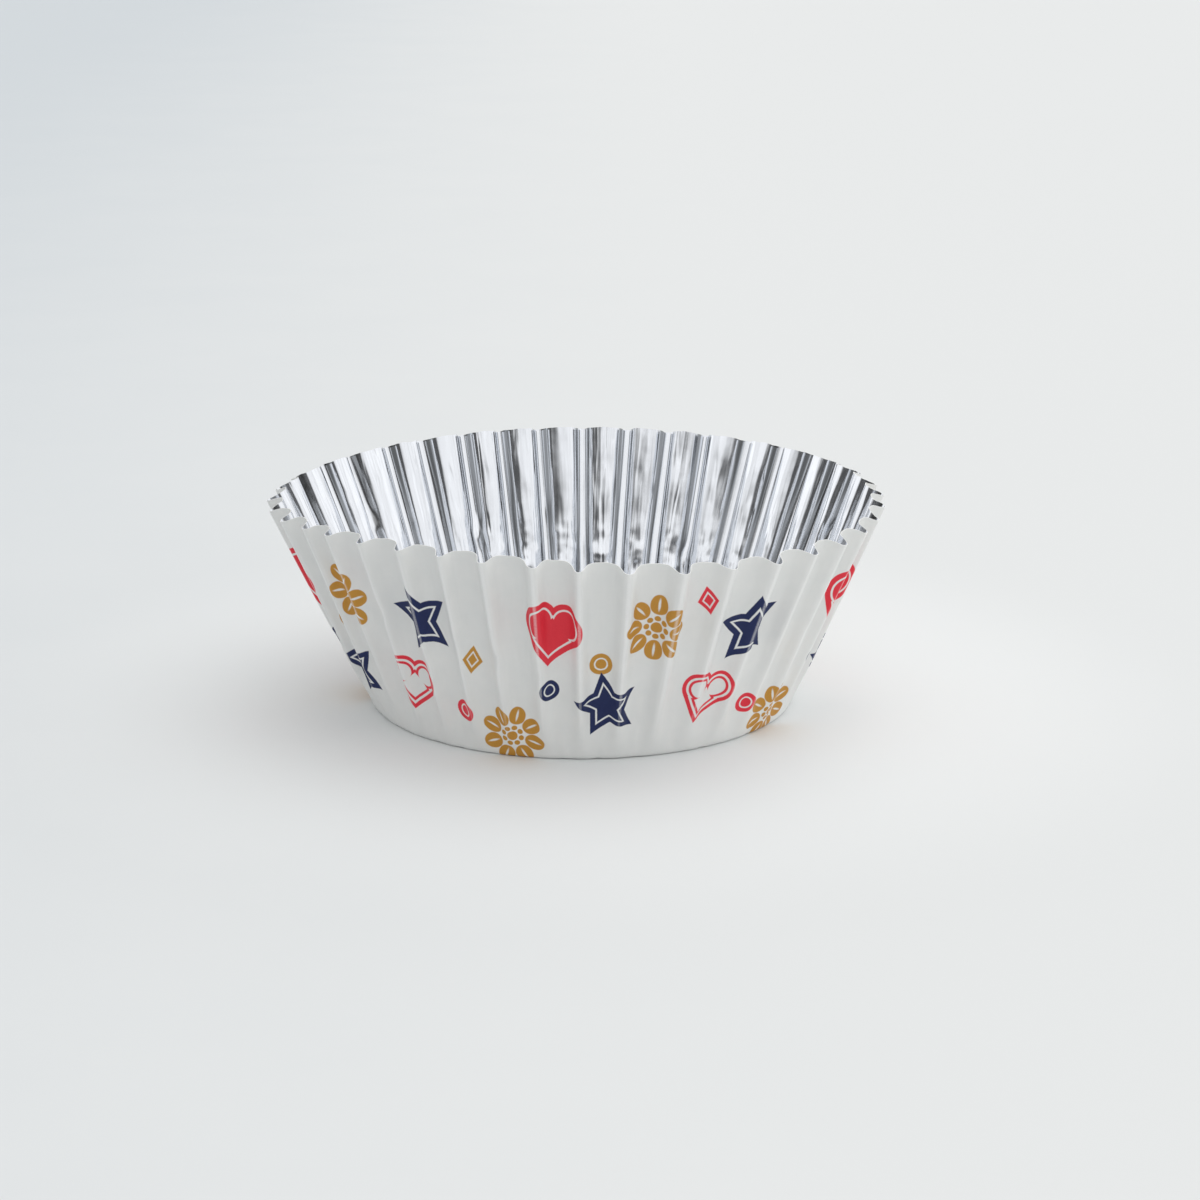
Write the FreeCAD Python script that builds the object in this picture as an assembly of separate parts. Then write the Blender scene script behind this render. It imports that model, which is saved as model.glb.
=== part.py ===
"""Pleated cupcake liner, pressed from one round sheet of greaseproof paper lined with foil.

The middle of the sheet stays flat as the base, and the ring around it stands up as the wall. What the ring
has too much of in length goes into the pleats: sharp folded ridges with wide round valleys between them.
The valleys fade out just above the base edge and are deepest at the rim. The sheet keeps its length up the
wall, so the rim is square to it and dips at each ridge.

Millimetres, +Z up, origin at the middle of the base's underside. The first ridge is folded along +X.
"""
import math
import os

import FreeCAD, Part
from FreeCAD import Vector

# The sheet and its base in millimetres
base_diameter = 50.0
slant_height = 26.4
sheet_thickness = 0.1

# The wall's lean from upright in degrees, half way into the pleats
wall_lean = 20.4

# The pleats: how many, how deep at the rim, how round their valleys are, and where those begin up the slant
pleat_count = 40
pleat_depth = 2.4
valley_radius = 2.4
valley_start = 1.5

# How far the tools that shape the inside run past the sheet
overrun = 5.0

axis_up = Vector(0, 0, 1)
pitch_degrees = 360 / pleat_count
facet_share = math.cos(math.radians(pitch_degrees / 2))
base_radius = base_diameter / 2
rim_radius = base_radius + slant_height * math.sin(math.radians(wall_lean))


def rim_point(radius):
    """Where the rim passes a radius: a slant height from the base edge, in the upright XZ plane."""
    return Vector(radius, 0, math.sqrt(slant_height ** 2 - (radius - base_radius) ** 2))


# Between two ridges the wall starts as a flat facet, and the valley is pressed into the middle of it
ridge_rim = rim_point(rim_radius + pleat_depth / 2)
valley_rim = rim_point(rim_radius - pleat_depth / 2)
facet_foot = Vector(base_radius * facet_share, 0, 0)
facet_rim = Vector(ridge_rim.x * facet_share, 0, ridge_rim.z)
facet_direction = (facet_rim - facet_foot).normalize()
valley_foot = facet_foot + facet_direction * valley_start
valley_direction = (valley_rim - valley_foot).normalize()
rim_slope = (valley_rim.z - facet_rim.z) / (facet_rim.x - valley_rim.x)
rim_peak = facet_rim.z + facet_rim.x * rim_slope


def corner_ring(facet_point):
    """Corners of a level polygon whose sides are as far from the axis as a point of a facet."""
    radius = facet_point.x / facet_share
    corners = []
    for ridge in range(pleat_count + 1):
        angle = math.radians(ridge * pitch_degrees)
        corners.append(Vector(radius * math.cos(angle), radius * math.sin(angle), facet_point.z))
    return corners


def faceted_solid(foot, top, peak_height):
    """Flat floor, one leaning facet for each pleat and a pyramid on top."""
    floor_corners = corner_ring(foot)
    top_corners = corner_ring(top)
    peak = Vector(0, 0, peak_height)
    faces = [Part.Face(Part.makePolygon(floor_corners))]
    for side in range(pleat_count):
        low_right, low_left = floor_corners[side:side + 2]
        high_right, high_left = top_corners[side:side + 2]
        faces.append(Part.Face(Part.makePolygon([low_right, low_left, high_left, high_right, low_right])))
        faces.append(Part.Face(Part.makePolygon([high_right, high_left, peak, high_right])))
    shell = Part.makeShell(faces)
    shell.sewShape()
    solid = Part.makeSolid(shell)
    if solid.Volume < 0:
        solid.reverse()
    return solid


def with_valleys(solid, radius):
    """The solid with a round valley cut into each facet, about one shared line for each pleat."""
    outward = Vector(valley_direction.z, 0, -valley_direction.x)
    start = valley_foot - valley_direction * overrun + outward * valley_radius
    cutters = []
    for side in range(pleat_count):
        cutter = Part.makeCylinder(radius, slant_height + 2 * overrun, start, valley_direction)
        cutter.rotate(Vector(0, 0, 0), axis_up, (side + 0.5) * pitch_degrees)
        cutters.append(cutter)
    return solid.cut(cutters)


def make_outside():
    """Everything inside the paper side of the sheet, up to the rim."""
    return with_valleys(faceted_solid(facet_foot, facet_rim, rim_peak), valley_radius)


def make_inside():
    """Everything inside the foil side, one sheet thickness in, and on past the rim."""
    inset = sheet_thickness * (1 - facet_direction.x) / facet_direction.z
    foot = facet_foot + Vector(-inset, 0, sheet_thickness)
    top = foot + facet_direction * (slant_height + overrun)
    return with_valleys(faceted_solid(foot, top, rim_peak + overrun), valley_radius + sheet_thickness)


os.makedirs("parts", exist_ok=True)
liner = make_outside().cut(make_inside())
liner.exportStep("parts/liner.step")
box = liner.BoundBox
print("liner", round(box.XLength, 3), "x", round(box.YLength, 3), "x", round(box.ZLength, 3), "mm")
print("solids", len(liner.Solids), "valid", liner.isValid(), "volume", round(liner.Volume, 1), "mm3")
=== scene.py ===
"""A cupcake liner of foil-lined greaseproof paper, standing on a pale studio floor."""
import math
import bpy
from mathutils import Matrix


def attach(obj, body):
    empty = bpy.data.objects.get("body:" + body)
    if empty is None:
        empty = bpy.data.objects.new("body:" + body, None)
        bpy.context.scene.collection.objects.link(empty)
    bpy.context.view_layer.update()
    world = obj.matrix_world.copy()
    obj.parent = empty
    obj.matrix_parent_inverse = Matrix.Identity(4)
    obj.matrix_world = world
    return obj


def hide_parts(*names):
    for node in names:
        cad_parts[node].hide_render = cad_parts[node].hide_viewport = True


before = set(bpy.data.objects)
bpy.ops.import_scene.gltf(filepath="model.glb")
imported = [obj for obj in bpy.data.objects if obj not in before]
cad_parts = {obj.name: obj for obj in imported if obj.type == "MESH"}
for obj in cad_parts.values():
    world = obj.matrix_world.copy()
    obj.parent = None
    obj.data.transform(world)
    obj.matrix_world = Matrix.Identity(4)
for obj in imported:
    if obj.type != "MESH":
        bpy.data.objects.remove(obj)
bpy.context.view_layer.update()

# The sheet. A disc of greaseproof paper laminated to aluminium foil, blanked and pressed in a fluted die.
# The middle stays flat as the base, and the ring around it is gathered into pleats that fade out towards
# the base edge. Handling has pushed the rim a little out of round.
mm = 0.001
base_radius = 25.0 * mm
slant_height = 26.4 * mm
sheet_radius = base_radius + slant_height
sheet_thickness = 0.07 * mm
edge_bend = 0.7 * mm
wall_lean = math.radians(21.4)
pleat_count = 40
columns_per_pleat = 28
half_pitch = math.pi / pleat_count
ridge_crowding = 1.2
base_rows = 9
wall_rows = 33
edge_crowding = 1.3
merge_distance = 0.0001 * mm

# What makes each pleat its own: shares of the usual one, from the least to the most
fold_variation = (0.86, 1.1)
ridge_variation = (0.75, 1.3)
ridge_lead = 0.09

# Where the rim's two swells start, as parts of their own round
oval_start = math.radians(38.7)
three_sided_start = math.radians(195.9)

# How the pleats begin at the base edge, and how fast they steepen above it
fold_at_edge = 0.32
ridge_share_at_edge = 0.4
fold_curve = 0.55
least_fold = 0.02

# The kinks that a thumb has left in some ridges, and the nicks that the knife has left in the rim
kink_heights = (8 * mm, 18 * mm)
kink_length = 1.2 * mm
kink_rarity = 2.5
kink_flattening = 0.45
kink_side_step = 0.07
nick_length = 1.6 * mm

# The crumples: creases drawn out up the wall, and rounder dimples that end part of the way up it
crease_width = 1.8 * mm
crease_stretch = (1, 1, 0.25)
crease_share = 0.35
dimple_width = 2.6 * mm
dimple_stretch = (1, 1, 0.7)
dimples_deep_to = 5 * mm
dimples_end = 15 * mm
crumple_past_edge = 4 * mm
base_crumple = 0.4


def add(tree, kind, *feeds, out=0, **settings):
    """Adds a node, sets it up, feeds its sockets in order and gives back one of its outputs."""
    node = tree.nodes.new(kind)
    for name, value in settings.items():
        setattr(node, name, value)
    sockets = [socket for socket in node.inputs if socket.enabled]
    for socket, feed in zip(sockets, feeds):
        if isinstance(feed, bpy.types.NodeSocket):
            tree.links.new(feed, socket)
        elif feed is not None:
            socket.default_value = feed
    return [socket for socket in node.outputs if socket.enabled][out]


def new_group(name, kind, inputs, output):
    """A node group with its named inputs and its one output."""
    tree = bpy.data.node_groups.new(name, kind)
    for label, socket_type, default in inputs:
        socket = tree.interface.new_socket(label, in_out="INPUT", socket_type=socket_type)
        if default is not None:
            socket.default_value = default
    label, socket_type = output
    tree.interface.new_socket(label, in_out="OUTPUT", socket_type=socket_type)
    return tree, tree.nodes.new("NodeGroupInput").outputs, tree.nodes.new("NodeGroupOutput").inputs[0]


def half_pleat():
    """Where a share of the length from ridge to valley lies once it is folded, across and down."""
    tree, given, result = new_group(
        "half_pleat",
        "GeometryNodeTree",
        [
            ("Along", "NodeSocketFloat", 1.0),
            ("Fold", "NodeSocketFloat", 1.0),
            ("Ridge Share", "NodeSocketFloat", 0.2),
        ],
        ("Place", "NodeSocketVector"),
    )
    fold, ridge_share = given["Fold"], given["Ridge Share"]

    # An arc over the ridge, then a flank that is nearly straight, a shoulder and a wide valley floor: the
    # share of the rest that each takes up, and the shares of the fold that it starts and ends with
    rest = add(tree, "ShaderNodeMath", 1, ridge_share, operation="SUBTRACT")
    arcs = [(ridge_share, 0, 1)]
    flank = (0.25, 1, 0.95)
    shoulder = (0.33, 0.95, 0.3)
    valley_floor = (0.42, 0.3, 0)
    for share_of_rest, first, last in (flank, shoulder, valley_floor):
        share = add(tree, "ShaderNodeMath", rest, share_of_rest, operation="MULTIPLY")
        arcs.append((share, first, last))
    start, place = 0, (0, 0, 0)
    for share, first, last in arcs:
        past = add(tree, "ShaderNodeMath", given["Along"], start, operation="SUBTRACT")
        part = add(tree, "ShaderNodeMath", past, share, operation="DIVIDE", use_clamp=True)
        turned = add(tree, "ShaderNodeMath", part, last - first, first, operation="MULTIPLY_ADD")
        tilt = add(tree, "ShaderNodeMath", fold, turned, operation="MULTIPLY")
        first_tilt = add(tree, "ShaderNodeMath", fold, first, operation="MULTIPLY")
        whole_turn = add(tree, "ShaderNodeMath", fold, last - first, operation="MULTIPLY")
        arc_radius = add(tree, "ShaderNodeMath", share, whole_turn, operation="DIVIDE")
        sine = add(tree, "ShaderNodeMath", tilt, operation="SINE")
        cosine = add(tree, "ShaderNodeMath", tilt, operation="COSINE")
        first_sine = add(tree, "ShaderNodeMath", first_tilt, operation="SINE")
        first_cosine = add(tree, "ShaderNodeMath", first_tilt, operation="COSINE")
        run = add(tree, "ShaderNodeMath", sine, first_sine, operation="SUBTRACT")
        fall = add(tree, "ShaderNodeMath", first_cosine, cosine, operation="SUBTRACT")
        step = add(tree, "ShaderNodeCombineXYZ", run, fall)
        place = add(tree, "ShaderNodeVectorMath", step, arc_radius, place, operation="MULTIPLY_ADD")
        start = add(tree, "ShaderNodeMath", start, share, operation="ADD")
    tree.links.new(place, result)
    return tree


def pleated_sheet(material):
    """Geometry Nodes that fold a grid into the paper side, and keep its flat layout as a UV map."""
    tree, given, result = new_group(
        "pleated_sheet",
        "GeometryNodeTree",
        [
            ("Base Radius", "NodeSocketFloat", base_radius),
            ("Slant Height", "NodeSocketFloat", slant_height),
            ("Edge Bend", "NodeSocketFloat", edge_bend),
            ("Wall Lean", "NodeSocketFloat", wall_lean),
            ("Pleats", "NodeSocketInt", pleat_count),
            ("Fold Per Spare", "NodeSocketFloat", 2.1),
            ("Ridge Share", "NodeSocketFloat", 0.23),
            ("Fade Height", "NodeSocketFloat", 5.5 * mm),
            ("Ragged Rim", "NodeSocketFloat", 0.4 * mm),
            ("Oval", "NodeSocketFloat", 0.93 * mm),
            ("Three Sided", "NodeSocketFloat", 0.74 * mm),
            ("Crumple", "NodeSocketFloat", 0.6 * mm),
            ("Seed", "NodeSocketInt", 7),
        ],
        ("Mesh", "NodeSocketGeometry"),
    )
    pleats = given["Pleats"]

    # Across a pleat: the nearest ridge, and the share of the sheet's length from it to the valley
    grid = tree.nodes.new("GeometryNodeMeshGrid")
    grid.inputs["Size X"].default_value = 1
    grid.inputs["Size Y"].default_value = 1
    grid.inputs["Vertices Y"].default_value = base_rows + wall_rows + 1
    columns = add(tree, "ShaderNodeMath", pleats, columns_per_pleat, 1, operation="MULTIPLY_ADD")
    tree.links.new(columns, grid.inputs["Vertices X"])
    across = add(tree, "ShaderNodeSeparateXYZ", grid.outputs["UV Map"])
    up = across.node.outputs["Y"]
    turn = add(tree, "ShaderNodeMath", across, pleats, operation="MULTIPLY")
    ridge = add(tree, "ShaderNodeMath", turn, operation="ROUND")
    off_ridge = add(tree, "ShaderNodeMath", turn, ridge, operation="SUBTRACT")
    side = add(tree, "ShaderNodeMath", off_ridge, operation="SIGN")
    half_side = add(tree, "ShaderNodeMath", side, 0.5, operation="MULTIPLY")
    off_ridge = add(tree, "ShaderNodeMath", off_ridge, operation="ABSOLUTE")
    along = add(tree, "ShaderNodeMath", off_ridge, 2, operation="MULTIPLY")
    along = add(tree, "ShaderNodeMath", along, ridge_crowding, operation="POWER")
    from_ridge = add(tree, "ShaderNodeMath", along, along, operation="MULTIPLY")
    near_ridge = add(tree, "ShaderNodeMath", 1, from_ridge, operation="SUBTRACT")
    pitch = add(tree, "ShaderNodeMath", 2 * math.pi, pleats, operation="DIVIDE")

    # Each pleat is its own, and half way to the next it has turned half into that one
    next_ridge = add(tree, "ShaderNodeMath", ridge, side, operation="ADD")
    own_number = add(tree, "ShaderNodeMath", ridge, pleats, operation="FLOORED_MODULO")
    next_number = add(tree, "ShaderNodeMath", next_ridge, pleats, operation="FLOORED_MODULO")
    half_way = add(tree, "ShaderNodeMath", from_ridge, 0.5, operation="MULTIPLY")

    def varied(low, high, salt):
        """A random value that belongs to the nearest ridge, and half to the next one half way there."""
        seed = add(tree, "ShaderNodeMath", given["Seed"], salt, operation="ADD")
        own = add(tree, "FunctionNodeRandomValue", low, high, own_number, seed)
        other = add(tree, "FunctionNodeRandomValue", low, high, next_number, seed)
        return add(tree, "ShaderNodeMix", half_way, own, other, data_type="FLOAT")

    # The flat layout's bearing, and the slant height there: the blanking knife leaves the rim a bit ragged
    flat_turn = add(tree, "ShaderNodeMath", along, half_side, ridge, operation="MULTIPLY_ADD")
    flat_turn = add(tree, "ShaderNodeMath", flat_turn, pitch, operation="MULTIPLY")
    east = add(tree, "ShaderNodeMath", flat_turn, operation="COSINE")
    north = add(tree, "ShaderNodeMath", flat_turn, operation="SINE")
    bearing = add(tree, "ShaderNodeCombineXYZ", east, north)
    ragged = add(tree, "ShaderNodeTexNoise", bearing, sheet_radius / nick_length, 2.0, 0.5)
    ragged = add(tree, "ShaderNodeMath", ragged, 0.5, operation="SUBTRACT")
    tall = add(
        tree, "ShaderNodeMath", ragged, given["Ragged Rim"], given["Slant Height"], operation="MULTIPLY_ADD"
    )

    # Up the sheet: across the base, round the edge and up the wall
    base_share = base_rows / (base_rows + wall_rows)
    across_base = add(tree, "ShaderNodeMath", up, base_share, operation="DIVIDE", use_clamp=True)
    inwards = add(tree, "ShaderNodeMath", 1, across_base, operation="SUBTRACT")
    climb = add(tree, "ShaderNodeMapRange", up, base_share, 1, 0, 1)
    climb = add(tree, "ShaderNodeMath", climb, edge_crowding, operation="POWER")
    to_edge = add(tree, "ShaderNodeMath", inwards, inwards, operation="MULTIPLY")
    to_edge = add(tree, "ShaderNodeMath", to_edge, given["Base Radius"], operation="MULTIPLY")
    past_edge = add(tree, "ShaderNodeMath", climb, tall, operation="MULTIPLY")
    past_edge = add(tree, "ShaderNodeMath", past_edge, to_edge, operation="SUBTRACT")
    slant = add(tree, "ShaderNodeMath", past_edge, 0, given["Edge Bend"], operation="SMOOTH_MAX")
    disc = add(tree, "ShaderNodeMath", past_edge, slant, operation="SUBTRACT")
    disc = add(tree, "ShaderNodeMath", given["Base Radius"], disc, operation="ADD")

    # The flat layout of the sheet, which the print and the foil's creases follow, fitted to a square
    flat_radius = add(tree, "ShaderNodeMath", given["Base Radius"], past_edge, operation="ADD")
    flat_radius = add(tree, "ShaderNodeMath", flat_radius, 2 * sheet_radius, operation="DIVIDE")
    square_middle = (0.5, 0.5, 0)
    layout = add(
        tree, "ShaderNodeVectorMath", bearing, flat_radius, square_middle, operation="MULTIPLY_ADD"
    )
    laid_out = add(
        tree,
        "GeometryNodeStoreNamedAttribute",
        grid.outputs["Mesh"],
        True,
        "sheet",
        layout,
        data_type="FLOAT2",
        domain="CORNER",
    )

    # How steep the flanks stand: the longer the flat ring is than the wall's own round, the steeper
    lean_sine = add(tree, "ShaderNodeMath", given["Wall Lean"], operation="SINE")
    wall_round = add(tree, "ShaderNodeMath", slant, lean_sine, given["Base Radius"], operation="MULTIPLY_ADD")
    flat_round = add(tree, "ShaderNodeMath", given["Base Radius"], slant, operation="ADD")
    taken_up = add(tree, "ShaderNodeMath", wall_round, flat_round, operation="DIVIDE")
    spare = add(tree, "ShaderNodeMath", 1, taken_up, operation="SUBTRACT")
    spare = add(tree, "ShaderNodeMath", spare, 0, operation="MAXIMUM")
    fold = add(tree, "ShaderNodeMath", spare, fold_curve, operation="POWER")
    fold = add(tree, "ShaderNodeMath", fold, given["Fold Per Spare"], operation="MULTIPLY")
    fold = add(tree, "ShaderNodeMath", fold, varied(*fold_variation, 3), operation="MULTIPLY")
    fade = add(
        tree,
        "ShaderNodeMapRange",
        slant,
        0,
        given["Fade Height"],
        fold_at_edge,
        1,
        interpolation_type="SMOOTHSTEP",
    )
    fold = add(tree, "ShaderNodeMath", fold, fade, operation="MULTIPLY")

    # Some ridges were buckled by a thumb: over a few millimetres they stand less high and step sideways
    from_kink = add(tree, "ShaderNodeMath", slant, varied(*kink_heights, 1), operation="SUBTRACT")
    from_kink = add(tree, "ShaderNodeMath", from_kink, kink_length, operation="DIVIDE")
    bell = add(tree, "ShaderNodeMath", from_kink, from_kink, operation="MULTIPLY")
    bell = add(tree, "ShaderNodeMath", bell, -1, operation="MULTIPLY")
    bell = add(tree, "ShaderNodeMath", bell, operation="EXPONENT")
    how_hard = add(tree, "ShaderNodeMath", varied(0, 1, 2), kink_rarity, operation="POWER")
    kink = add(tree, "ShaderNodeMath", bell, how_hard, operation="MULTIPLY")
    kink = add(tree, "ShaderNodeMath", kink, near_ridge, operation="MULTIPLY")
    flattened = add(tree, "ShaderNodeMath", kink, -kink_flattening, 1, operation="MULTIPLY_ADD")
    fold = add(tree, "ShaderNodeMath", fold, flattened, operation="MULTIPLY")
    fold = add(tree, "ShaderNodeMath", fold, least_fold, operation="MAXIMUM")

    # The folded half pleat, drawn to the size that fills its share of the way round
    own_share = varied(*ridge_variation, 4)
    own_share = add(tree, "ShaderNodeMath", given["Ridge Share"], own_share, operation="MULTIPLY")
    ridge_share = add(tree, "ShaderNodeMix", fade, ridge_share_at_edge, own_share, data_type="FLOAT")
    shape = half_pleat()
    here = add(tree, "GeometryNodeGroup", along, fold, ridge_share, node_tree=shape)
    whole = add(tree, "GeometryNodeGroup", 1, fold, ridge_share, node_tree=shape)
    half_chord = add(tree, "ShaderNodeMath", wall_round, math.pi, operation="MULTIPLY")
    half_chord = add(tree, "ShaderNodeMath", half_chord, pleats, operation="DIVIDE")
    whole_run = add(tree, "ShaderNodeSeparateXYZ", whole)
    size = add(tree, "ShaderNodeMath", half_chord, whole_run, operation="DIVIDE")
    depth = add(tree, "ShaderNodeMath", size, whole_run.node.outputs["Y"], operation="MULTIPLY")
    run = add(tree, "ShaderNodeSeparateXYZ", here)
    drop = add(tree, "ShaderNodeMath", size, run.node.outputs["Y"], operation="MULTIPLY")
    run_share = add(tree, "ShaderNodeMath", run, whole_run, operation="DIVIDE")

    # Round the cup: each ridge stands a little off its place, and the rim is a little out of round
    part_turn = add(tree, "ShaderNodeMath", run_share, half_side, operation="MULTIPLY")
    lead = add(tree, "ShaderNodeMath", varied(-ridge_lead, ridge_lead, 5), climb, operation="MULTIPLY")
    lead = add(tree, "ShaderNodeMath", kink, kink_side_step, lead, operation="MULTIPLY_ADD")
    part_turn = add(tree, "ShaderNodeMath", lead, near_ridge, part_turn, operation="MULTIPLY_ADD")
    angle = add(tree, "ShaderNodeMath", ridge, part_turn, operation="ADD")
    angle = add(tree, "ShaderNodeMath", angle, pitch, operation="MULTIPLY")
    uneven = 0
    for waves, swell_start, swell in ((2, oval_start, "Oval"), (3, three_sided_start, "Three Sided")):
        wave = add(tree, "ShaderNodeMath", angle, waves, swell_start, operation="MULTIPLY_ADD")
        wave = add(tree, "ShaderNodeMath", wave, operation="COSINE")
        uneven = add(tree, "ShaderNodeMath", wave, given[swell], uneven, operation="MULTIPLY_ADD")
    reach = add(tree, "ShaderNodeMath", wall_round, given["Base Radius"], operation="SUBTRACT")

    # The pleats' last ripple dies away across the base, so that the sheet closes at its middle
    ripple = add(tree, "ShaderNodeMath", depth, 0.5, operation="MULTIPLY")
    ripple = add(tree, "ShaderNodeMath", ripple, drop, operation="SUBTRACT")
    reach = add(tree, "ShaderNodeMath", ripple, across_base, reach, operation="MULTIPLY_ADD")
    reach = add(tree, "ShaderNodeMath", uneven, climb, reach, operation="MULTIPLY_ADD")

    # The sheet keeps its length up the wall, so what it reaches outwards it lacks in height
    reach_square = add(tree, "ShaderNodeMath", reach, reach, operation="MULTIPLY")
    rise = add(tree, "ShaderNodeMath", slant, slant, operation="MULTIPLY")
    rise = add(tree, "ShaderNodeMath", rise, reach_square, operation="SUBTRACT")
    rise = add(tree, "ShaderNodeMath", rise, 0, operation="MAXIMUM")
    rise = add(tree, "ShaderNodeMath", rise, operation="SQRT")
    radius = add(tree, "ShaderNodeMath", reach, disc, operation="ADD")
    east = add(tree, "ShaderNodeMath", angle, operation="COSINE")
    north = add(tree, "ShaderNodeMath", angle, operation="SINE")
    outwards = add(tree, "ShaderNodeCombineXYZ", east, north)
    upright = add(tree, "ShaderNodeCombineXYZ", 0, 0, rise)
    folded = add(tree, "ShaderNodeVectorMath", outwards, radius, upright, operation="MULTIPLY_ADD")
    pleated = add(tree, "GeometryNodeSetPosition", laid_out, True, folded)
    joined = add(tree, "GeometryNodeMergeByDistance", pleated, True, merge_distance)

    # Crumples: long creases up each valley, and dimples low down, where the sheet is gathered most tightly
    place = add(tree, "GeometryNodeInputPosition")
    drawn_up = add(tree, "ShaderNodeVectorMath", place, crease_stretch, operation="MULTIPLY")
    crease = add(tree, "ShaderNodeTexNoise", drawn_up, 1 / crease_width, 2.0, 0.5)
    crease = add(tree, "ShaderNodeMath", crease, 0.5, operation="SUBTRACT")
    crease = add(tree, "ShaderNodeMath", crease, crease_share, operation="MULTIPLY")
    drawn_up = add(tree, "ShaderNodeVectorMath", place, dimple_stretch, operation="MULTIPLY")
    dimple = add(tree, "ShaderNodeTexNoise", drawn_up, 1 / dimple_width, 1.0, 0.5)
    dimple = add(tree, "ShaderNodeMath", dimple, 0.5, operation="SUBTRACT")
    low_down = add(
        tree,
        "ShaderNodeMapRange",
        slant,
        dimples_deep_to,
        dimples_end,
        1,
        0,
        interpolation_type="SMOOTHSTEP",
    )
    inside_base = add(tree, "ShaderNodeMapRange", past_edge, -crumple_past_edge, 0, base_crumple, 0)
    off_ridges = add(tree, "ShaderNodeMath", from_ridge, inside_base, operation="MAXIMUM")
    push = add(tree, "ShaderNodeMath", dimple, low_down, crease, operation="MULTIPLY_ADD")
    push = add(tree, "ShaderNodeMath", push, off_ridges, operation="MULTIPLY")
    push = add(tree, "ShaderNodeMath", push, given["Crumple"], operation="MULTIPLY")
    normal = add(tree, "GeometryNodeInputNormal")
    moved = add(tree, "ShaderNodeVectorMath", normal, push, place, operation="MULTIPLY_ADD")
    above_floor = (-sheet_radius, -sheet_radius, 0)
    moved = add(tree, "ShaderNodeVectorMath", moved, above_floor, operation="MAXIMUM")
    crumpled = add(tree, "GeometryNodeSetPosition", joined, True, moved)
    smooth = add(tree, "GeometryNodeSetShadeSmooth", crumpled)
    faces_beside = add(tree, "GeometryNodeInputMeshEdgeNeighbors")
    at_rim = add(tree, "ShaderNodeMath", faces_beside, 1.5, operation="LESS_THAN")
    cut = add(tree, "GeometryNodeSetShadeSmooth", smooth, at_rim, False, domain="EDGE")
    real = add(tree, "GeometryNodeRealizeInstances", cut)
    tree.links.new(add(tree, "GeometryNodeSetMaterial", real, True, material), result)
    return tree


def linear(hex_colour):
    """A colour written as sRGB hex, as the linear RGBA that the shaders take."""
    parts = [int(hex_colour[place:place + 2], 16) / 255 for place in (1, 3, 5)]
    return [part / 12.92 if part <= 0.04045 else ((part + 0.055) / 1.055) ** 2.4 for part in parts] + [1]


def new_material(name):
    """A material with its node tree and the inputs of its Principled shader."""
    material = bpy.data.materials.new(name)
    material.use_nodes = True
    return material, material.node_tree, material.node_tree.nodes["Principled BSDF"].inputs


def flat_place(tree):
    """Where a point was on the flat sheet, in millimetres from its middle."""
    layout = add(tree, "ShaderNodeUVMap", uv_map="sheet")
    centred = add(tree, "ShaderNodeVectorMath", layout, (0.5, 0.5, 0), operation="SUBTRACT")
    return add(tree, "ShaderNodeVectorMath", centred, 2 * sheet_radius / mm, operation="SCALE")


# The print. Flexo ink in three colours, laid on the flat paper before it is pressed, so the pleats gather
# each motif with the sheet. Hearts, stars, daisies, lozenges and dots, each with fine lines left white.
repeats_round = 5
ink_edge = 0.09
red, navy, ochre = ("#da2a3b", "#e63646"), ("#131f4b", "#1b295a"), ("#b98330", "#c8933c")
whole_inside = 99


def new_motif(name):
    """A group that takes a place in millimetres from a motif's middle and gives the ink there."""
    return new_group(
        name, "ShaderNodeTree", [("Place", "NodeSocketVector", None)], ("Ink", "NodeSocketFloat")
    )


def inked(tree, depth, bare_bands):
    """Ink wherever a point lies inside an outline, less the bands between two depths that stay bare."""
    ink = add(tree, "ShaderNodeMath", depth, 1 / ink_edge, 0.5, operation="MULTIPLY_ADD", use_clamp=True)
    for start, end in bare_bands:
        off = add(tree, "ShaderNodeMath", depth, (start + end) / 2, operation="SUBTRACT")
        off = add(tree, "ShaderNodeMath", off, operation="ABSOLUTE")
        past = add(tree, "ShaderNodeMath", off, (end - start) / 2, operation="SUBTRACT")
        kept = add(tree, "ShaderNodeMath", past, 1 / ink_edge, 0.5, operation="MULTIPLY_ADD", use_clamp=True)
        ink = add(tree, "ShaderNodeMath", ink, kept, operation="MULTIPLY")
    return ink


def heart(name, side_length, bare_bands):
    """A square on its corner with a round lobe on each upper side."""
    tree, given, result = new_motif(name)
    mirrored = add(tree, "ShaderNodeVectorMath", given["Place"], operation="ABSOLUTE")
    right = add(tree, "ShaderNodeSeparateXYZ", mirrored)
    taxicab = add(tree, "ShaderNodeMath", right, right.node.outputs["Y"], operation="ADD")
    half_side = side_length / 2
    in_square = add(tree, "ShaderNodeMath", taxicab, -math.sqrt(0.5), half_side, operation="MULTIPLY_ADD")
    height = add(tree, "ShaderNodeSeparateXYZ", given["Place"], out=1)
    half_mirrored = add(tree, "ShaderNodeCombineXYZ", right, height)
    lobe = side_length * math.sqrt(0.125)
    from_lobe = add(tree, "ShaderNodeVectorMath", half_mirrored, (lobe, lobe, 0), operation="DISTANCE")
    in_lobe = add(tree, "ShaderNodeMath", half_side, from_lobe, operation="SUBTRACT")
    depth = add(tree, "ShaderNodeMath", in_square, in_lobe, operation="MAXIMUM")
    tree.links.new(inked(tree, depth, bare_bands), result)
    return tree


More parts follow.
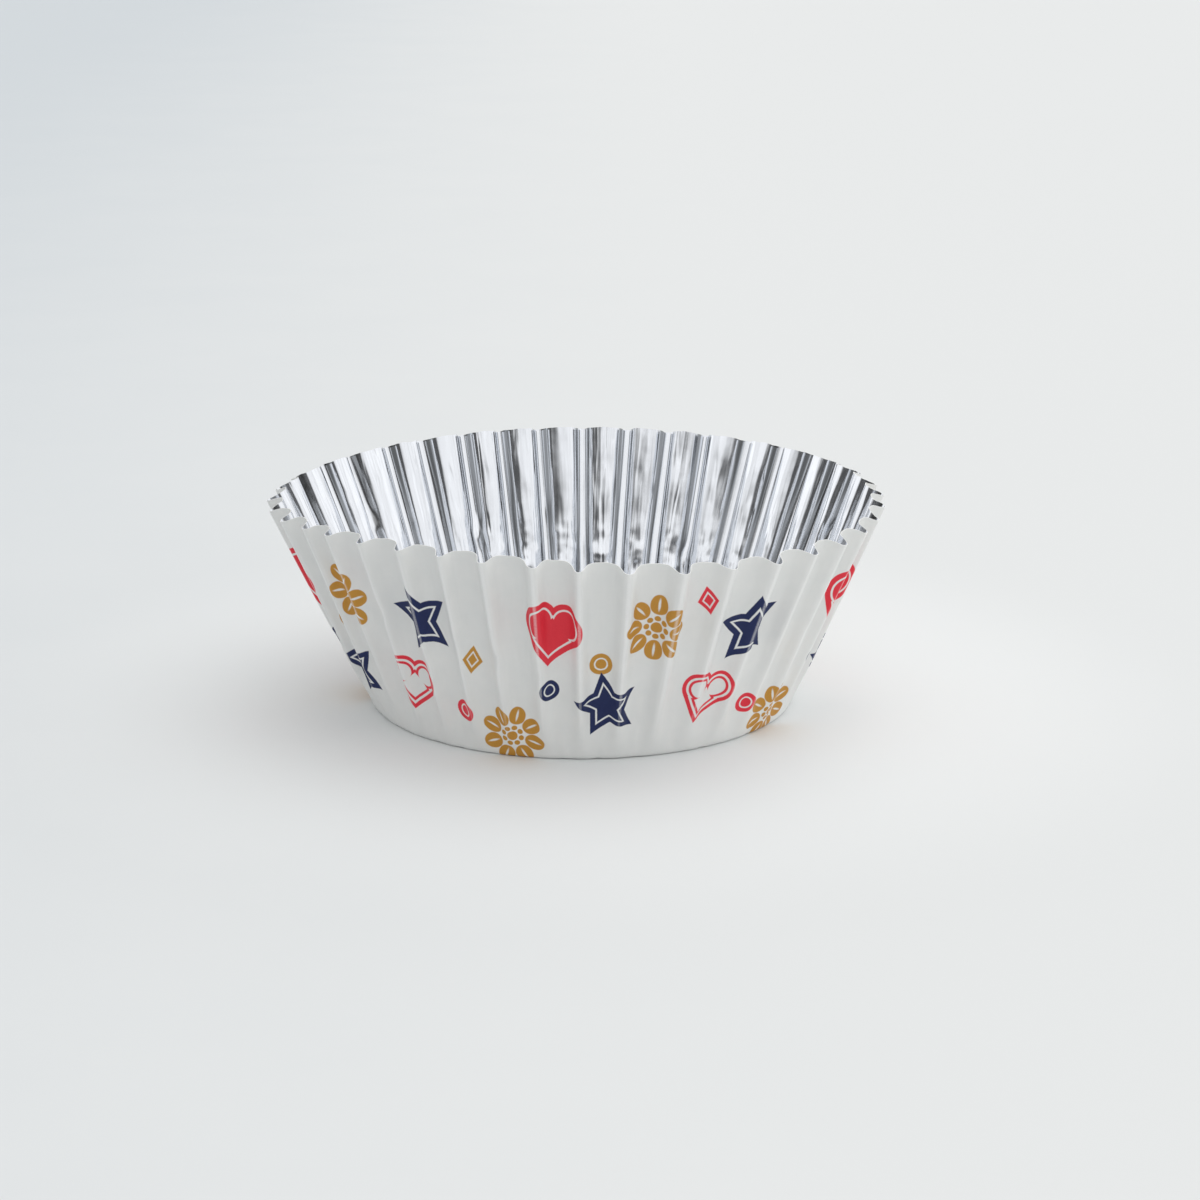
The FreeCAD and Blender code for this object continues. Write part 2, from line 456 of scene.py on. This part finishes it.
def spokes(tree, place, count):
    """A point's place along and beside the nearest of some spokes from the middle, and its distance."""
    right = add(tree, "ShaderNodeSeparateXYZ", place)
    bearing = add(tree, "ShaderNodeMath", right, right.node.outputs["Y"], operation="ARCTAN2")
    off_spoke = add(tree, "ShaderNodeMath", bearing, math.pi / count, operation="PINGPONG")
    distance = add(tree, "ShaderNodeVectorMath", place, operation="LENGTH")
    cosine = add(tree, "ShaderNodeMath", off_spoke, operation="COSINE")
    sine = add(tree, "ShaderNodeMath", off_spoke, operation="SINE")
    along = add(tree, "ShaderNodeMath", distance, cosine, operation="MULTIPLY")
    beside = add(tree, "ShaderNodeMath", distance, sine, operation="MULTIPLY")
    return add(tree, "ShaderNodeCombineXYZ", along, beside), distance


def star(name, outer, inner, bare_bands):
    """Five points with straight sides."""
    tree, given, result = new_motif(name)
    points = 5
    beside_point = spokes(tree, given["Place"], points)[0]
    half_point = math.pi / points
    square_on = math.atan2(outer - inner * math.cos(half_point), inner * math.sin(half_point))
    facing = (math.cos(square_on), math.sin(square_on), 0)
    towards = add(tree, "ShaderNodeVectorMath", beside_point, facing, operation="DOT_PRODUCT")
    depth = add(tree, "ShaderNodeMath", outer * facing[0], towards, operation="SUBTRACT")
    tree.links.new(inked(tree, depth, bare_bands), result)
    return tree


def oval(tree, place, middle, length, width):
    """Ink in an oval that lies along a spoke."""
    off = add(tree, "ShaderNodeVectorMath", place, (middle, 0, 0), operation="SUBTRACT")
    rounded = add(tree, "ShaderNodeVectorMath", off, (width / length, 1, 1), operation="MULTIPLY")
    distance = add(tree, "ShaderNodeVectorMath", rounded, operation="LENGTH")
    depth = add(tree, "ShaderNodeMath", width / 2, distance, operation="SUBTRACT")
    return inked(tree, depth, [])


def daisy(name, petals, petal_middle, petal_length, petal_width, eye_radius):
    """Oval petals with a bare vein each, round an eye with a ring of small ovals."""
    tree, given, result = new_motif(name)
    beside_petal, distance = spokes(tree, given["Place"], petals)
    in_eye = add(tree, "ShaderNodeMath", eye_radius, distance, operation="SUBTRACT")
    eye = inked(tree, in_eye, [])
    petal = oval(tree, beside_petal, petal_middle, petal_length, petal_width)
    vein_length = petal_length * 0.6
    vein_width = 0.3
    vein = oval(tree, beside_petal, petal_middle, vein_length, vein_width)
    seed_middle = eye_radius * 1.75
    seed_width = eye_radius * 1.1
    seed_ring = oval(tree, beside_petal, seed_middle, eye_radius, seed_width)
    veined = add(tree, "ShaderNodeMath", petal, vein, operation="SUBTRACT", use_clamp=True)
    middle = add(tree, "ShaderNodeMath", eye, seed_ring, operation="MAXIMUM")
    tree.links.new(add(tree, "ShaderNodeMath", veined, middle, operation="MAXIMUM"), result)
    return tree


def lozenge(name, half_width, half_height, bare_bands):
    """A diamond taller than it is wide."""
    tree, given, result = new_motif(name)
    mirrored = add(tree, "ShaderNodeVectorMath", given["Place"], operation="ABSOLUTE")
    slope = math.hypot(half_width, half_height)
    facing = (half_height / slope, half_width / slope, 0)
    towards = add(tree, "ShaderNodeVectorMath", mirrored, facing, operation="DOT_PRODUCT")
    depth = add(tree, "ShaderNodeMath", half_width * facing[0], towards, operation="SUBTRACT")
    tree.links.new(inked(tree, depth, bare_bands), result)
    return tree


def dot(name, dot_radius, bare_bands):
    """A round dot."""
    tree, given, result = new_motif(name)
    distance = add(tree, "ShaderNodeVectorMath", given["Place"], operation="LENGTH")
    depth = add(tree, "ShaderNodeMath", dot_radius, distance, operation="SUBTRACT")
    tree.links.new(inked(tree, depth, bare_bands), result)
    return tree


solid_heart = heart("solid_heart", 5.4, [(0.7, 0.95)])
line_heart = heart("line_heart", 5.6, [(0.6, 0.95), (1.35, whole_inside)])
solid_star = star("solid_star", 5.3, 2.7, [(0.75, 1.0)])
petalled_daisy = daisy("petalled_daisy", 8, 3.2, 2.8, 2.3, 0.72)
small_lozenge = lozenge("small_lozenge", 1.35, 1.85, [(0.42, 0.6)])
small_dot = dot("small_dot", 1.5, [(0.6, 0.8)])

# Each motif with its degrees round a repeat, its millimetres out from the middle, size, tilt and ink
upper_row = [
    (solid_heart, -24, 41.5, 1.0, 10, red),
    (small_dot, -13.5, 38.0, 0.95, 0, ochre),
    (petalled_daisy, -3, 43.0, 0.95, 0, ochre),
    (small_lozenge, 6.5, 46.5, 1.0, -20, red),
    (solid_star, 18, 42.0, 0.95, -8, navy),
    (small_lozenge, 29.5, 37.5, 1.0, 15, ochre),
]
lower_row = [
    (line_heart, -25, 32.5, 0.8, 14, red),
    (small_dot, -11, 30.5, 0.9, 0, red),
    (petalled_daisy, 1, 28.0, 0.86, 20, ochre),
    (small_dot, 11, 34.5, 0.9, 0, navy),
    (solid_star, 24, 32.5, 0.84, -12, navy),
    (solid_heart, -20, 13.5, 0.85, 10, navy),
    (petalled_daisy, 16, 15.5, 0.85, 0, ochre),
]


# Printed greaseproof paper: bleached and calendered, so it is smooth, a little cloudy and hardly shiny.
# Its fibres are some 0.03 mm wide and are drawn ten times coarser to show. The ink lies a little thin, and
# both get a painted highlight along the ridges' crests. Places on the flat sheet are in millimetres, and
# widths beside a ridge are shares of half a pleat.
cloud_size = 2.4 * mm
fibre_width = 0.3 * mm
fibre_height = 0.02 * mm
fibre_strength = 0.25
ink_wobble_length = 0.4
ink_wobble = 0.06
ink_grain = 0.2
# The painted highlight along the ridges' crests
crest_highlight_to = 0.02
crest_ends = 0.09
strongest_crest_highlight = 0.55
crest_highlight_from = base_radius / mm + 2
crest_highlight_full_from = 36


def printed_paper():
    material, tree, surface = new_material("printed_greaseproof_paper")
    place = add(tree, "ShaderNodeTexCoord", out=3)
    flat = flat_place(tree)
    wobble = add(tree, "ShaderNodeTexNoise", flat, 1 / ink_wobble_length, 2.0, 0.5, out=1)
    wobble = add(tree, "ShaderNodeVectorMath", wobble, (0.5, 0.5, 0.5), operation="SUBTRACT")
    reach = (ink_wobble, ink_wobble, 0)
    flat = add(tree, "ShaderNodeVectorMath", wobble, reach, flat, operation="MULTIPLY_ADD")
    east = add(tree, "ShaderNodeSeparateXYZ", flat)
    bearing = add(tree, "ShaderNodeMath", east.node.outputs["Y"], east, operation="ARCTAN2")
    distance = add(tree, "ShaderNodeVectorMath", flat, operation="LENGTH")
    half_repeat = math.pi / repeats_round
    covered = {}
    for row, lead in ((upper_row, 0), (lower_row, half_repeat)):
        turned = add(tree, "ShaderNodeMath", bearing, lead, operation="SUBTRACT")
        turned = add(tree, "ShaderNodeMath", turned, half_repeat, -half_repeat, operation="WRAP")
        unit = add(
            tree,
            "ShaderNodeCombineXYZ",
            add(tree, "ShaderNodeMath", turned, operation="COSINE"),
            add(tree, "ShaderNodeMath", turned, operation="SINE"),
        )
        in_repeat = add(tree, "ShaderNodeVectorMath", unit, distance, operation="SCALE")
        for motif, degrees, out_from_middle, size, tilt, ink in row:
            motif_bearing = math.radians(degrees)
            middle = (out_from_middle * math.cos(motif_bearing), out_from_middle * math.sin(motif_bearing), 0)
            upright = (0, 0, motif_bearing - math.pi / 2 + math.radians(tilt))
            local = add(
                tree,
                "ShaderNodeMapping",
                in_repeat,
                middle,
                upright,
                (size, size, 1),
                vector_type="TEXTURE",
            )
            mask = add(tree, "ShaderNodeGroup", local, node_tree=motif)
            if ink in covered:
                mask = add(tree, "ShaderNodeMath", covered[ink], mask, operation="MAXIMUM")
            covered[ink] = mask
    cloud = add(tree, "ShaderNodeTexNoise", place, 1 / cloud_size, 4.0, 0.6)
    colour = add(tree, "ShaderNodeMix", cloud, linear("#e0e2e1"), linear("#eaeae8"), data_type="RGBA")
    grain = add(tree, "ShaderNodeTexNoise", flat, 1 / ink_grain, 3.0, 0.7)
    for ink, mask in covered.items():
        full, thin = ink
        laid_ink = add(tree, "ShaderNodeMix", grain, linear(full), linear(thin), data_type="RGBA")
        colour = add(tree, "ShaderNodeMix", mask, colour, laid_ink, data_type="RGBA")
    # Painted highlight: on the wall, paper and ink are mixed towards white along each ridge crest, where the
    # fold catches the light
    off_ridge = add(tree, "ShaderNodeMath", bearing, half_pitch, operation="PINGPONG")
    crest = add(
        tree,
        "ShaderNodeMapRange",
        off_ridge,
        crest_highlight_to * half_pitch,
        crest_ends * half_pitch,
        strongest_crest_highlight,
        0,
        interpolation_type="SMOOTHSTEP",
    )
    on_wall = add(tree, "ShaderNodeMapRange", distance, crest_highlight_from, crest_highlight_full_from, 0, 1)
    painted_crest_highlight = add(tree, "ShaderNodeMath", crest, on_wall, operation="MULTIPLY")
    painted_crest_highlight = add(tree, "ShaderNodeMath", painted_crest_highlight, grain, operation="MULTIPLY")
    colour = add(tree, "ShaderNodeMix", painted_crest_highlight, colour, linear("#ffffff"), data_type="RGBA")
    tree.links.new(colour, surface["Base Color"])
    fibre = add(tree, "ShaderNodeTexNoise", place, 1 / fibre_width, 3.0, 0.6)
    bump = add(tree, "ShaderNodeBump", fibre_strength, fibre_height, None, fibre)
    tree.links.new(bump, surface["Normal"])
    surface["Roughness"].default_value = 0.5
    surface["Specular IOR Level"].default_value = 0.3
    return material


# Aluminium foil: rolled bright, then creased by the die, so that each small facet mirrors another part of
# the room. Thin creases run up the valleys, and dimples crowd the foot of the wall. The ridges' channels,
# drawn tight over the die, stay clean. Their flanks get painted shade, for the light that bounces there
# until it dies.
foil_crease_width = 1.1
foil_crease_length = 12.0
swell_scale = 0.6
wall_middle = 38.0
pressed_line_width = 0.1
pressed_line_depth = 0.14
# Where the painted shade lies on the channels' flanks, in shares of half a pleat
flank_middle = 0.31
flank_half_width = 0.13
flank_fully_shaded = 0.06
channel_clean_to = 0.25
channel_ends = 0.6
channel_relief = 0.08
creased_from = 31
foil_dimple_width = 2.4 * mm
foil_dimples_fade_from = 32
foil_dimples_gone_at = 41
dimples_left = 0.05
base_dimples = 0.12
base_dimples_end = (24, 27)
relief_height = 0.3 * mm
smear_size = 4 * mm
smear_span = (0.3, 0.7)
foil_roughness = (0.07, 0.17)


def creased_foil():
    material, tree, surface = new_material("aluminium_foil")
    place = add(tree, "ShaderNodeTexCoord", out=3)
    flat = flat_place(tree)
    distance = add(tree, "ShaderNodeVectorMath", flat, operation="LENGTH")
    unit = add(tree, "ShaderNodeVectorMath", flat, operation="NORMALIZE")
    east = add(tree, "ShaderNodeSeparateXYZ", unit)
    bearing = add(tree, "ShaderNodeMath", east.node.outputs["Y"], east, operation="ARCTAN2")

    # Creases along the sheet's radius, each a swell with a thin line pressed in beside it
    spread = add(tree, "ShaderNodeVectorMath", unit, wall_middle / foil_crease_width, operation="SCALE")
    up = add(tree, "ShaderNodeMath", distance, 1 / foil_crease_length, operation="MULTIPLY")
    up = add(tree, "ShaderNodeCombineXYZ", None, None, up)
    stretched = add(tree, "ShaderNodeVectorMath", spread, up, operation="ADD")
    swell = add(tree, "ShaderNodeTexNoise", stretched, swell_scale, 2.0, 0.5)
    off_middle = add(tree, "ShaderNodeMath", swell, 0.5, operation="SUBTRACT")
    off_middle = add(tree, "ShaderNodeMath", off_middle, operation="ABSOLUTE")
    line = add(
        tree,
        "ShaderNodeMapRange",
        off_middle,
        0,
        pressed_line_width,
        0,
        pressed_line_depth,
        interpolation_type="SMOOTHSTEP",
    )
    crease = add(tree, "ShaderNodeMath", swell, 0.5, line, operation="MULTIPLY_ADD")
    # The channels' flanks, where the foil's colour gets painted shade further down
    off_ridge = add(tree, "ShaderNodeMath", bearing, half_pitch, operation="PINGPONG")
    off_flank = add(tree, "ShaderNodeMath", off_ridge, flank_middle * half_pitch, operation="SUBTRACT")
    off_flank = add(tree, "ShaderNodeMath", off_flank, operation="ABSOLUTE")
    painted_flank_shade = add(
        tree,
        "ShaderNodeMapRange",
        off_flank,
        flank_half_width * half_pitch,
        flank_fully_shaded * half_pitch,
        0,
        1,
    )
    past_channel = add(
        tree,
        "ShaderNodeMapRange",
        off_ridge,
        channel_clean_to * half_pitch,
        channel_ends * half_pitch,
        channel_relief,
        1,
        interpolation_type="SMOOTHSTEP",
    )
    on_wall = add(tree, "ShaderNodeMapRange", distance, base_radius / mm, creased_from, 0, 1)
    crease = add(tree, "ShaderNodeMath", crease, on_wall, operation="MULTIPLY")

    # Dimples: shallow on the base, deep at the foot of the wall and gone half way up it
    dimple = add(tree, "ShaderNodeTexNoise", place, 1 / foil_dimple_width, 1.0, 0.4)
    low_down = add(
        tree,
        "ShaderNodeMapRange",
        distance,
        foil_dimples_fade_from,
        foil_dimples_gone_at,
        1,
        dimples_left,
        interpolation_type="SMOOTHSTEP",
    )
    past_base = add(tree, "ShaderNodeMapRange", distance, *base_dimples_end, base_dimples, 1)
    low_down = add(tree, "ShaderNodeMath", low_down, past_base, operation="MULTIPLY")
    dimple = add(tree, "ShaderNodeMath", dimple, low_down, operation="MULTIPLY")
    relief = add(tree, "ShaderNodeMath", crease, dimple, operation="ADD")
    kept = add(tree, "ShaderNodeMix", on_wall, 1, past_channel, data_type="FLOAT")
    relief = add(tree, "ShaderNodeMath", relief, kept, operation="MULTIPLY")
    bump = add(tree, "ShaderNodeBump", 1.0, relief_height, None, relief)
    tree.links.new(bump, surface["Normal"])
    smear = add(tree, "ShaderNodeTexNoise", place, 1 / smear_size, 3.0, 0.6)
    rough = add(tree, "ShaderNodeMapRange", smear, *smear_span, *foil_roughness)
    tree.links.new(rough, surface["Roughness"])
    surface["Metallic"].default_value = 1

    # Bright foil, with painted shade on the channels' flanks
    painted_flank_shade = add(tree, "ShaderNodeMath", painted_flank_shade, on_wall, operation="MULTIPLY")
    colour = add(tree, "ShaderNodeMix", painted_flank_shade, linear("#e6e9ee"), linear("#989a9c"), data_type="RGBA")
    tree.links.new(colour, surface["Base Color"])
    return material


# The sheet is folded once and kept as a mesh, and its thickness then lays the foil on its inner side
paper = printed_paper()
folding = bpy.data.objects.new("folding", bpy.data.meshes.new("folding"))
bpy.context.scene.collection.objects.link(folding)
folding.modifiers.new("folding", "NODES").node_group = pleated_sheet(paper)
paper_side = bpy.data.meshes.new_from_object(folding.evaluated_get(bpy.context.evaluated_depsgraph_get()))
bpy.data.objects.remove(folding)
liner = bpy.data.objects.new("liner_sheet", paper_side)
bpy.context.scene.collection.objects.link(liner)
paper_side.materials.append(creased_foil())
wall = liner.modifiers.new("thickness", "SOLIDIFY")
wall.thickness = sheet_thickness
wall.offset = -1
wall.material_offset = 1
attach(liner, "root")
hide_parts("liner")

# The studio's floor: pale, seamless, painted and a little mottled. Painted shade makes it darker on the
# left, and painted light makes it paler round the cup, where the white paper throws light back on it.
floor_reach = 4
floor_corners = [(-floor_reach, -floor_reach, 0), (floor_reach, -floor_reach, 0)]
floor_corners += [(floor_reach, floor_reach, 0), (-floor_reach, floor_reach, 0)]
mottles_per_metre = 30.0
mottle_shift = 0.04
# Painted shade towards the left, and painted light round the cup
shaded_from = -0.2
lit_from = 0.06
cup_glow_radii = (0.035, 0.08)
painted_bounce_light = 0.38
floor = bpy.data.objects.new("floor", bpy.data.meshes.new("floor"))
floor.data.from_pydata(floor_corners, [], [(0, 1, 2, 3)])
bpy.context.scene.collection.objects.link(floor)
floor_paint, floor_tree, floor_surface = new_material("painted_studio_floor")
floor_place = add(floor_tree, "ShaderNodeTexCoord", out=3)
mottle = add(floor_tree, "ShaderNodeTexNoise", floor_place, mottles_per_metre, 4.0, 0.6)
across_floor = add(floor_tree, "ShaderNodeSeparateXYZ", floor_place)
across_floor = add(floor_tree, "ShaderNodeMath", mottle, mottle_shift, across_floor, operation="MULTIPLY_ADD")
# Painted shade: the floor's colour darkens towards the left, away from the window's light
left_shade_sweep = add(
    floor_tree,
    "ShaderNodeMapRange",
    across_floor,
    shaded_from,
    lit_from,
    interpolation_type="SMOOTHSTEP",
)
floor_colour = add(
    floor_tree, "ShaderNodeMix", left_shade_sweep, linear("#c4cace"), linear("#dadcdc"), data_type="RGBA"
)
# Painted light: the floor is mixed paler within a few centimetres of the cup, for the light that the white
# paper throws back
to_cup = add(floor_tree, "ShaderNodeVectorMath", floor_place, operation="LENGTH")
painted_bounce_mask = add(
    floor_tree,
    "ShaderNodeMapRange",
    to_cup,
    *cup_glow_radii,
    painted_bounce_light,
    0,
    interpolation_type="SMOOTHSTEP",
)
floor_colour = add(floor_tree, "ShaderNodeMix", painted_bounce_mask, floor_colour, linear("#f2f4f4"), data_type="RGBA")
floor_tree.links.new(floor_colour, floor_surface["Base Color"])
floor_surface["Roughness"].default_value = 0.8
floor.data.materials.append(floor_paint)

# The sky: soft, with a window's glow from the right. The foil mirrors a room that is bright above and
# behind, dim low down in front, and uneven in brightness all round.
bright_side = (0.25, 0.66, 2.1)
bright_from = 0.35
clutter_scale = 2.5
clutter_shift = 0.5
soft_least = 0.6
window_side = (0.85, 0.1, 0.5)
window_levels = (0.66, 1.32)
patch_scale = 4.0
patch_levels = (0.92, 1.26)
world = bpy.data.worlds.new("studio")
bpy.context.scene.world = world
world.use_nodes = True
sky = world.node_tree
direction = add(sky, "ShaderNodeTexCoord")
towards_light = add(sky, "ShaderNodeVectorMath", direction, bright_side, operation="DOT_PRODUCT")
clutter = add(sky, "ShaderNodeTexNoise", direction, clutter_scale, 2.0, 0.5)
clutter = add(sky, "ShaderNodeMath", clutter, 0.5, operation="SUBTRACT")
towards_light = add(
    sky, "ShaderNodeMath", clutter, clutter_shift, towards_light, operation="MULTIPLY_ADD"
)
lit = add(sky, "ShaderNodeMapRange", towards_light, 0, bright_from, 0, 1, interpolation_type="SMOOTHSTEP")
softly_lit = add(sky, "ShaderNodeMapRange", lit, 0, 1, soft_least, 1)
mirrored = add(sky, "ShaderNodeLightPath", out=3)
lit = add(sky, "ShaderNodeMix", mirrored, softly_lit, lit, data_type="FLOAT")
sky_colour = add(sky, "ShaderNodeMix", lit, linear("#565656"), linear("#ffffff"), data_type="RGBA")
sky.links.new(sky_colour, sky.nodes["Background"].inputs["Color"])
towards_window = add(sky, "ShaderNodeVectorMath", direction, window_side, operation="DOT_PRODUCT")
glow = add(sky, "ShaderNodeMapRange", towards_window, -0.6, 1, *window_levels)
patchy = add(sky, "ShaderNodeTexNoise", direction, patch_scale, 3.0, 0.6)
room_level = add(sky, "ShaderNodeMapRange", patchy, 0.35, 0.65, *patch_levels)
level = add(sky, "ShaderNodeMix", mirrored, glow, room_level, data_type="FLOAT")
sky.links.new(level, sky.nodes["Background"].inputs["Strength"])

# One broad lamp, behind on the right and above, throws the soft shadow. The foil doesn't mirror it.
sun = bpy.data.objects.new("soft_light", bpy.data.lights.new("soft_light", "SUN"))
sun.data.energy = 0.4
sun.data.angle = math.radians(70)
sun.rotation_euler = (math.radians(-22), math.radians(32), 0)
sun.visible_glossy = False
bpy.context.scene.collection.objects.link(sun)

# The camera, fitted to the base edge and the rim in the photograph
target = (2.145 * mm, 0, 11.48 * mm)
camera_distance = 354.3 * mm
camera_elevation = math.radians(15.777)
camera = bpy.data.objects.new("camera", bpy.data.cameras.new("camera"))
camera.data.sensor_width = 36
camera.data.lens = 89.6
camera.location = (
    target[0],
    -camera_distance * math.cos(camera_elevation),
    target[2] + camera_distance * math.sin(camera_elevation),
)
camera.rotation_euler = (math.pi / 2 - camera_elevation, 0, 0)
camera.data.clip_start = 0.01
camera.data.clip_end = 20
bpy.context.scene.collection.objects.link(camera)
bpy.context.scene.camera = camera
bpy.context.scene.view_settings.view_transform = "Standard"
